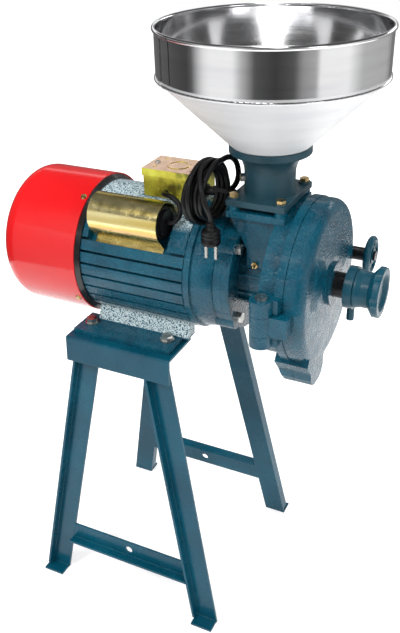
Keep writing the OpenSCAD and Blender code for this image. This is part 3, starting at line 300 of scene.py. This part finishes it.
class Shader(Nodes):
    """A material round one Principled shader."""

    def __init__(self, name, color, rough, metal=0.0, coat=0.0, coat_rough=0.1, specular=0.5):
        self.material = bpy.data.materials.new(name)
        self.material.use_nodes = True
        super().__init__(self.material.node_tree)
        self.shader = self.tree.nodes["Principled BSDF"]
        self.shader.inputs["Base Color"].default_value = (*color, 1)
        self.shader.inputs["Roughness"].default_value = rough
        self.shader.inputs["Metallic"].default_value = metal
        self.shader.inputs["Coat Weight"].default_value = coat
        self.shader.inputs["Coat Roughness"].default_value = coat_rough
        self.shader.inputs["Specular IOR Level"].default_value = specular
        self.place = self.add("ShaderNodeTexCoord").outputs["Object"]
        self.parts = None
        self.bumps = None

    def stretch(self, scale):
        node = self.add("ShaderNodeMapping")
        node.inputs["Scale"].default_value = scale
        self.link(self.place, node.inputs["Vector"])
        return node.outputs["Vector"]

    def grain(self, scale, detail=3.0, rough=0.5, place=None):
        node = self.add("ShaderNodeTexNoise")
        node.inputs["Scale"].default_value = scale
        node.inputs["Detail"].default_value = detail
        node.inputs["Roughness"].default_value = rough
        self.link(place or self.place, node.inputs["Vector"])
        return node.outputs["Fac"]

    def cells(self, scale, smooth=0.0):
        node = self.add("ShaderNodeTexVoronoi", feature="SMOOTH_F1" if smooth else "F1")
        node.inputs["Scale"].default_value = scale
        if smooth:
            node.inputs["Smoothness"].default_value = smooth
        self.link(self.place, node.inputs["Vector"])
        return node.outputs["Distance"]

    def color(self, value, stops):
        """Colours the surface by a value, from a list of places in it and their colours."""
        node = self.add("ShaderNodeValToRGB")
        band = node.color_ramp
        while len(band.elements) < len(stops):
            band.elements.new(0.5)
        for element, (at, color) in zip(band.elements, stops):
            element.position = at
            element.color = (*color, 1)
        self.link(value, node.inputs["Fac"])
        self.link(node.outputs["Color"], self.shader.inputs["Base Color"])

    def over(self, share, color):
        """Lays another colour over the one below, by a share from 0 to 1."""
        mix = self.add("ShaderNodeMix", data_type="RGBA")
        under = self.shader.inputs["Base Color"].links[0].from_socket
        self.link(share, mix.inputs["Factor"])
        self.link(under, mix.inputs["A"])
        mix.inputs["B"].default_value = (*color, 1)
        self.link(mix.outputs["Result"], self.shader.inputs["Base Color"])

    def fleck(self, color, scale, where):
        """Small flecks of another colour, as thick as where says."""
        spots = self.spread(self.grain(scale, 2), 0.0, 1.0, 0.42, 0.52)
        self.over(self.maths("MULTIPLY", where, spots), color)

    def rough(self, value, low, high):
        self.link(self.spread(value, low, high), self.shader.inputs["Roughness"])

    def along(self, axis):
        """A point's own place along X, Y or Z."""
        if not self.parts:
            self.parts = self.add("ShaderNodeSeparateXYZ")
            self.link(self.place, self.parts.inputs[0])
        return self.parts.outputs[axis]

    def upward(self, low, high, amount=1.0):
        """From 0 to amount, as the upward part of the surface's direction goes from low to high."""
        way = self.add("ShaderNodeNewGeometry")
        parts = self.add("ShaderNodeSeparateXYZ")
        self.link(way.outputs["Normal"], parts.inputs[0])
        return self.spread(parts.outputs["Z"], 0.0, amount, low, high)

    def soften(self, radius):
        """Shades every edge as a small round one, and gives how sharp the place is, from 0 to 1."""
        node = self.add("ShaderNodeBevel", samples=4)
        node.inputs["Radius"].default_value = radius
        self.bumps = node.outputs["Normal"]
        self.link(self.bumps, self.shader.inputs["Normal"])
        flat = self.add("ShaderNodeNewGeometry")
        agree = self.add("ShaderNodeVectorMath", operation="DOT_PRODUCT")
        self.link(flat.outputs["Normal"], agree.inputs[0])
        self.link(self.bumps, agree.inputs[1])
        return self.spread(agree.outputs["Value"], 1.0, 0.0, 0.8, 0.99)

    def bump(self, value, strength, depth):
        """Lays a bump over those already there."""
        node = self.add("ShaderNodeBump")
        node.inputs["Strength"].default_value = strength
        node.inputs["Distance"].default_value = depth
        self.link(value, node.inputs["Height"])
        if self.bumps:
            self.link(self.bumps, node.inputs["Normal"])
        self.bumps = node.outputs["Normal"]
        self.link(self.bumps, self.shader.inputs["Normal"])


# ---------- materials ----------

TEAL = (0.0012, 0.066, 0.108)
TEAL_DEEP = (0.0008, 0.044, 0.076)
TEAL_LIGHT = (0.003, 0.088, 0.138)
TEAL_EDGE_WEAR_AND_HIGHLIGHT = (0.05, 0.22, 0.30)
GLINT_FLECK = (0.5, 0.6, 0.62)
SLATE = (0.012, 0.05, 0.07)
RED = (0.6, 0.006, 0.008)
ZINC_YELLOW = (0.5, 0.36, 0.07)
OLIVE, GOLD, PALE_GOLD, ROSE = (0.17, 0.18, 0.035), (0.60, 0.46, 0.13), (0.80, 0.70, 0.36), (0.66, 0.38, 0.22)
RUST, MOSS, LIME, AMBER = (0.42, 0.16, 0.03), (0.62, 0.56, 0.07), (0.74, 0.76, 0.1), (0.8, 0.6, 0.2)
PINK = (0.80, 0.52, 0.40)
BRIGHT_STEEL = (0.80, 0.80, 0.81)
SEAM_SHADE = (0.03, 0.03, 0.03)

# The motor frame carries light flecks as painted glints between the first two heights, on its feet's web, and
# over the third
WEB_LOW, WEB_HIGH, CROWN = 0.4145, 0.437, 0.556
# The hopper's band starts at this height. Its seam lies at this bearing from its axis, and fades
# out between two angles from there, in radians
CONE_TOP = 0.735
SEAM_BEARING = math.radians(-123.5)
SEAM_INNER, SEAM_OUTER = 0.004, 0.009


def hammered_paint(name, lumps, strength, glint_flecked=False):
    """Gloss enamel over rough castings, which leaves small lumps. Its edges get a painted highlight, and
    light flecks on the motor frame's top and feet's web are painted glints.
    """
    paint = Shader(name, TEAL, 0.26, coat=0.3, coat_rough=0.05, specular=0.22)
    paint.color(paint.grain(45, 4), [(0.3, TEAL_DEEP), (0.5, TEAL), (0.75, TEAL_LIGHT)])
    paint.over(paint.spread(paint.cells(lumps), 0.0, 0.45, 0.35, 0.75), TEAL_DEEP)
    paint.rough(paint.grain(60, 2), 0.16, 0.32)
    edges = paint.soften(0.0016)
    # Painted highlight: sharp edges are lightened towards TEAL_LIGHT
    paint.over(paint.maths("MULTIPLY", edges, 0.3), TEAL_LIGHT)
    if glint_flecked:
        height = paint.along("Z")
        web = paint.maths(
            "MULTIPLY", paint.spread(height, 0.0, 1.0, WEB_LOW, WEB_LOW + 0.001),
            paint.spread(height, 1.0, 0.0, WEB_HIGH, WEB_HIGH + 0.006),
        )
        crown = paint.spread(height, 0.0, 0.9, CROWN, CROWN + 0.008)
        # Painted glints: light flecks on the feet's web and the frame's top, where light falls
        paint.fleck(GLINT_FLECK, lumps * 1.3, paint.maths("MAXIMUM", web, crown))
    paint.bump(paint.cells(lumps, smooth=0.8), strength, 0.0012)
    paint.bump(paint.grain(lumps * 2.4, 2), strength * 0.45, 0.0006)
    return paint.material


def sheet_paint():
    """Enamel on pressed steel: smooth, with a fine orange peel and lighter edges, which are wear and a
    painted highlight along the folds.
    """
    paint = Shader("stand_enamel", TEAL, 0.26, coat=0.12, coat_rough=0.08, specular=0.22)
    paint.color(paint.grain(12, 3), [(0.3, TEAL_DEEP), (0.6, TEAL), (0.8, TEAL_LIGHT)])
    paint.rough(paint.grain(30, 3), 0.2, 0.34)
    edges = paint.soften(0.0014)
    # Lighter edges: worn paint, and a painted highlight along the folds
    paint.over(paint.maths("MULTIPLY", edges, 0.35), TEAL_EDGE_WEAR_AND_HIGHLIGHT)
    paint.bump(paint.grain(520, 2), 0.12, 0.0005)
    return paint.material


def slate_paint():
    """Duller and greyer enamel, on the feed throat."""
    paint = Shader("throat_enamel", SLATE, 0.42, coat=0.1, coat_rough=0.3, specular=0.3)
    paint.color(paint.grain(26, 4), [(0.3, (0.009, 0.034, 0.048)), (0.7, (0.016, 0.058, 0.08))])
    paint.rough(paint.grain(70, 3), 0.34, 0.5)
    paint.soften(0.0012)
    paint.bump(paint.grain(700, 2), 0.25, 0.0005)
    return paint.material


def red_paint():
    paint = Shader("fan_cover_enamel", RED, 0.22, coat=0.5, coat_rough=0.06, specular=0.3)
    paint.color(paint.grain(9, 2), [(0.3, (0.54, 0.004, 0.006)), (0.7, (0.64, 0.008, 0.01))])
    paint.bump(paint.grain(240, 2), 0.05, 0.0005)
    return paint.material


def black_paint():
    paint = Shader("end_shield_enamel", (0.008, 0.008, 0.009), 0.3, coat=0.3)
    paint.rough(paint.grain(50), 0.24, 0.4)
    paint.bump(paint.grain(500, 2), 0.15, 0.0005)
    return paint.material


def chromate(name, stretch, stops, metal, pink_sheen_on_top=0.0):
    """Yellow passivation over zinc: gold with green and pink shades that drift over the sheet. Stretched into
    bands, as on the capacitor cover, they also stand for a painted reflection, and pink on upward faces is a
    painted sheen.
    """
    skin = Shader(name, ZINC_YELLOW, 0.2, metal=metal)
    skin.color(skin.grain(11, 3, 0.55, skin.stretch(stretch)), stops)
    if pink_sheen_on_top:
        # Painted sheen: upward faces lean towards pink
        skin.over(skin.upward(0.7, 0.95, pink_sheen_on_top), PINK)
    skin.rough(skin.grain(90, 3), 0.14, 0.28)
    skin.bump(skin.grain(900, 2), 0.04, 0.0003)
    return skin.material


def seam(sheet):
    """How near a place is to the dark line where the hopper's band is joined, from 0 to 0.9."""
    bearing = sheet.maths("ARCTAN2", sheet.along("Y"), sheet.maths("SUBTRACT", sheet.along("X"), HOPPER_X))
    off = sheet.maths("ABSOLUTE", sheet.maths("SUBTRACT", bearing, SEAM_BEARING))
    on_band = sheet.spread(sheet.along("Z"), 0.0, 0.9, CONE_TOP, CONE_TOP + 0.002)
    return sheet.maths("MULTIPLY", sheet.spread(off, 1.0, 0.0, SEAM_INNER, SEAM_OUTER), on_band)


def stainless():
    """Spun stainless sheet: bright on the band and inside, dull outside on the cone and spigot."""
    sheet = Shader("polished_stainless", BRIGHT_STEEL, 0.14, metal=1)
    drift = sheet.grain(14, 3, 0.5, sheet.stretch((0.5, 0.5, 5)))
    sheet.color(drift, [(0.3, (0.76, 0.76, 0.78)), (0.7, (0.87, 0.87, 0.87))])
    below_band = sheet.spread(sheet.along("Z"), 1.0, 0.0, CONE_TOP - 0.0005, CONE_TOP + 0.0005)
    downward = sheet.maths("SUBTRACT", 1.0, sheet.upward(-0.1, 0.1))
    dull = sheet.maths("MULTIPLY", below_band, downward)
    sheet.link(sheet.spread(dull, 1.0, 0.35, 0, 1), sheet.shader.inputs["Metallic"])
    sheet.over(seam(sheet), SEAM_SHADE)
    streaks = sheet.spread(sheet.grain(50, 3, 0.5, sheet.stretch((0.3, 0.3, 12))), -0.015, 0.03)
    polish = sheet.maths("ADD", sheet.spread(dull, 0.1, 0.5, 0, 1), streaks)
    sheet.link(polish, sheet.shader.inputs["Roughness"])
    sheet.bump(sheet.grain(30, 2, 0.5, sheet.stretch((0.2, 0.2, 20))), 0.008, 0.0003)
    return sheet.material


def metal(name, color, rough, scale=200, bump=0.1, metallic=1.0):
    """Bare or plated metal with a fine grain."""
    bare = Shader(name, color, rough, metal=metallic)
    bare.color(bare.grain(scale * 0.3, 4), [(0.3, tuple(0.75 * c for c in color)), (0.7, color)])
    bare.rough(bare.grain(scale * 0.5, 3), rough * 0.7, rough * 1.3)
    bare.bump(bare.grain(scale * 3, 2), bump, 0.0004)
    return bare.material


def ground_iron():
    """Cast iron that has been ground, on the two discs."""
    iron = Shader("ground_iron", (0.17, 0.17, 0.175), 0.42, metal=0.85)
    iron.color(iron.cells(420), [(0.1, (0.11, 0.11, 0.115)), (0.6, (0.24, 0.24, 0.25))])
    iron.bump(iron.cells(600), 0.2, 0.0004)
    return iron.material


def moulded(name, color, rough, grain, bump, specular):
    """Moulded plastic or rubber."""
    plastic = Shader(name, color, rough, specular=specular)
    plastic.rough(plastic.grain(80, 3), rough * 0.85, rough * 1.15)
    plastic.bump(plastic.grain(grain, 2), bump, 0.0004)
    return plastic.material


def dress(name, material):
    """Gives one of the CAD's nodes its material."""
    node = nodes[name]
    node.data.materials.clear()
    node.data.materials.append(material)


# On the capacitor cover the shades are stretched into bands along its length: passivation tones, and a
# painted reflection with dark olive and pale gold bands
COVER_STOPS = [(0.3, OLIVE), (0.43, GOLD), (0.54, PALE_GOLD), (0.62, GOLD), (0.72, ROSE)]
BOX_STOPS = [(0.33, RUST), (0.41, OLIVE), (0.48, MOSS), (0.57, LIME), (0.7, AMBER)]
FINISHES = {
    "stand_paint": sheet_paint(),
    "body_paint": hammered_paint("casting_enamel", 400, 0.8),
    "throat_paint": slate_paint(),
    "red_paint": red_paint(),
    "black_paint": black_paint(),
    "gold_plate": chromate("passivated_cover", (0.3, 2.6, 2.6), COVER_STOPS, 0.95),
    "stainless": stainless(),
    "zinc": metal("zinc_plate", (0.62, 0.61, 0.58), 0.28),
    "brassy": metal("brass_screws", (0.72, 0.52, 0.24), 0.3),
    "steel": metal("machined_steel", (0.42, 0.42, 0.43), 0.35),
    "grinding_iron": ground_iron(),
    "lamination": metal("varnished_laminations", (0.16, 0.16, 0.17), 0.45, 500, 0.3, 0.6),
    "copper_wire": metal("varnished_copper", (0.42, 0.15, 0.05), 0.35, 300, 0.4),
    "rotor_alloy": metal("cast_rotor_alloy", (0.55, 0.55, 0.57), 0.4),
    "black_plastic": moulded("black_moulding", (0.006, 0.006, 0.007), 0.38, 900, 0.15, 0.3),
    "knob_plastic": moulded("knob_moulding", (0.004, 0.058, 0.09), 0.3, 500, 0.25, 0.3),
    "black_steel": metal("black_oxide", (0.03, 0.03, 0.032), 0.3, 200, 0.2, 0.7),
    "black_rubber": moulded("cord_rubber", (0.0035, 0.0035, 0.004), 0.36, 700, 0.15, 0.28),
}
for part in frame["record"]["subparts"]:
    dress(part["node"], FINISHES[part["material_slot"]])
# The box's pink on upward faces is a painted sheen
box_skin = chromate("passivated_box", (2.4, 1.2, 1.9), BOX_STOPS, 0.7, 0.9)
for name in ("terminal_box", "terminal_box_lid"):
    dress(name, box_skin)
dress("motor_frame", hammered_paint("frame_enamel", 480, 0.75, glint_flecked=True))
for piece in leads:
    piece.data.materials.append(FINISHES["black_rubber"])


# ---------- floor, studio cards and lights ----------

FLOOR_REACH = 4.0
# The floor's glow rises from low to high between a near and a far distance from its middle
GLOW_NEAR, GLOW_FAR = 0.35, 1.3
GLOW_LOW, GLOW_HIGH = 0.42, 0.75
# The world's strength as a light, and as the camera and reflections see it
WORLD_FILL, WORLD_SEEN = 0.55, 1.0

# Name, place, width, height and power of each lamp. All of them face one place near the middle
LAMPS_AIM = (0, 0, 0.45)
LAMPS = [
    ("key", (-0.9, -1.6, 1.9), 0.9, 1.4, 26),
    ("fill", (1.7, -0.9, 1.0), 0.5, 1.6, 12),
    ("top", (0.1, 0.2, 2.2), 1.2, 1.2, 16),
    ("rim", (0.6, 1.6, 1.2), 0.8, 1.2, 10),
    ("window", (-0.45, -1.35, 2.0), 0.26, 0.26, 12),
    ("window_right", (1.3, -0.6, 1.9), 0.22, 0.22, 6),
]

# Shades of the studio surround by bearing in degrees, which the polished band reflects
SURROUND = [
    (-184, 0.1), (-152, 0.06), (-146, 0.12), (-133, 0.85), (-126, 1), (-104, 1), (-97, 0.55), (-84, 0.09),
    (-66, 0.05), (-49, 0.09), (-42, 0.3), (-30, 0.4), (-26, 0.95), (2, 1), (10, 0.75), (20, 0.5), (60, 0.45),
    (75, 0.2), (176, 0.1),
]
SURROUND_STEP = 2
SURROUND_REACH = 1.15
SURROUND_LOW, SURROUND_HIGH = 0.02, 0.95

# The two cards overhead: their height, shade, half the slot between them, and their outer edges
OVER_HEIGHT = 1.35
OVER_SHADE = 0.07
OVER_SLOT = 0.07
OVER_REACH = 2.2
OVER_DEPTH = 1.6


def bare_material(name):
    """A material whose node tree is empty, and the short ways to add to that tree."""
    material = bpy.data.materials.new(name)
    material.use_nodes = True
    material.node_tree.nodes.clear()
    return material, Nodes(material.node_tree)


def white_ground(name):
    """A pale floor that keeps the object's shadow, and glows for the camera and reflections."""
    ground, tree = bare_material(name)
    pale = tree.add("ShaderNodeBsdfDiffuse")
    pale.inputs["Color"].default_value = (0.8, 0.8, 0.8, 1)
    reach = tree.add("ShaderNodeVectorMath", operation="LENGTH")
    tree.link(tree.add("ShaderNodeTexCoord").outputs["Object"], reach.inputs[0])
    rise = tree.spread(reach.outputs["Value"], GLOW_LOW, GLOW_HIGH, GLOW_NEAR, GLOW_FAR)
    glow = tree.add("ShaderNodeEmission")
    tree.link(tree.maths("MULTIPLY", tree.seen(), rise), glow.inputs["Strength"])
    both = tree.add("ShaderNodeAddShader")
    tree.link(pale.outputs[0], both.inputs[0])
    tree.link(glow.outputs[0], both.inputs[1])
    tree.link(both.outputs[0], tree.add("ShaderNodeOutputMaterial").inputs["Surface"])
    return ground


def card_paint(name):
    """Glows by the shade that is kept on each point of a studio card."""
    paint, tree = bare_material(name)
    shade = tree.add("ShaderNodeAttribute", attribute_name="shade")
    glow = tree.add("ShaderNodeEmission")
    tree.link(shade.outputs["Fac"], glow.inputs["Color"])
    tree.link(glow.outputs[0], tree.add("ShaderNodeOutputMaterial").inputs["Surface"])
    return paint


def stage_panel(name, form, material):
    """Makes a finished form into a panel in the scene, with its material."""
    mesh = bpy.data.meshes.new(name)
    form.to_mesh(mesh)
    form.free()
    mesh.materials.append(material)
    panel = bpy.data.objects.new(name, mesh)
    scene.collection.objects.link(panel)
    return panel


def lay_floor():
    form = bmesh.new()
    corners = [(-1, -1), (1, -1), (1, 1), (-1, 1)]
    form.faces.new([form.verts.new((x * FLOOR_REACH, y * FLOOR_REACH, 0)) for x, y in corners])
    stage_panel("floor", form, white_ground("white_floor"))


def card(name, form, shade_of, paint):
    """A studio card, which shows in reflections alone."""
    panel = stage_panel(name, form, paint)
    shade = panel.data.attributes.new("shade", "FLOAT", "POINT")
    for point, value in zip(panel.data.vertices, shade.data):
        value.value = shade_of(point.co)
    panel.visible_camera = False
    panel.visible_diffuse = False
    panel.visible_shadow = False
    panel.visible_transmission = False


def surround_shade(place):
    """The surround's shade at a place on it, from its bearing round the hopper's axis."""
    bearing = math.degrees(math.atan2(place.y, place.x - HOPPER_X))
    if bearing > SURROUND[-1][0] + 0.5:
        bearing -= 360
    for (start, shade_0), (end, shade_1) in zip(SURROUND, SURROUND[1:]):
        if bearing <= end:
            return shade_0 + (shade_1 - shade_0) * max(0, (bearing - start) / (end - start))
    return SURROUND[-1][1]


def surround(paint):
    """A low ring of cards round the hopper's axis, shaded by bearing."""
    first, last = SURROUND[0][0], SURROUND[-1][0]
    form = bmesh.new()
    axis = Vector((HOPPER_X, 0, 0))
    way = Vector((math.cos(math.radians(first)), math.sin(math.radians(first)), 0))
    foot = axis + way * SURROUND_REACH
    ends = [form.verts.new(foot + Vector((0, 0, height))) for height in (SURROUND_LOW, SURROUND_HIGH)]
    edge = form.edges.new(ends)
    bmesh.ops.spin(
        form, geom=ends + [edge], cent=axis, axis=(0, 0, 1), angle=math.radians(last - first),
        steps=(last - first) // SURROUND_STEP,
    )
    card("surround", form, surround_shade, paint)


def overhead(paint):
    """Two dark cards over the hopper, with a bright slot between them along the camera's bearing."""
    forward = Vector((-math.sin(CAMERA_TURN), math.cos(CAMERA_TURN), 0))
    right = Vector((math.cos(CAMERA_TURN), math.sin(CAMERA_TURN), 0))
    middle = Vector((HOPPER_X, 0, OVER_HEIGHT))
    for name, side in [("card_over_left", -1), ("card_over_right", 1)]:
        inner, outer = side * OVER_SLOT, side * OVER_REACH
        corners = [(inner, -OVER_DEPTH), (outer, -OVER_DEPTH), (outer, OVER_DEPTH), (inner, OVER_DEPTH)]
        form = bmesh.new()
        form.faces.new([form.verts.new(middle + right * across + forward * back) for across, back in corners])
        card(name, form, lambda place: OVER_SHADE, paint)


def lamp(name, at, width, height, power):
    data = bpy.data.lights.new(name, "AREA")
    data.shape = "RECTANGLE"
    data.size = width
    data.size_y = height
    data.energy = power
    light = bpy.data.objects.new(name, data)
    scene.collection.objects.link(light)
    light.location = at
    light.rotation_euler = (Vector(LAMPS_AIM) - Vector(at)).to_track_quat("-Z", "Y").to_euler()


def light_world():
    """A white world, which is dimmer as a light than it looks."""
    scene.world = bpy.data.worlds.new("studio")
    scene.world.use_nodes = True
    tree = Nodes(scene.world.node_tree)
    back = tree.tree.nodes["Background"]
    back.inputs["Color"].default_value = (1, 1, 1, 1)
    tree.link(tree.spread(tree.seen(), WORLD_FILL, WORLD_SEEN, 0, 1), back.inputs["Strength"])


light_world()
lay_floor()
for name, at, width, height, power in LAMPS:
    lamp(name, at, width, height, power)
shades = card_paint("card_paint")
surround(shades)
overhead(shades)
scene.view_settings.view_transform = "Standard"
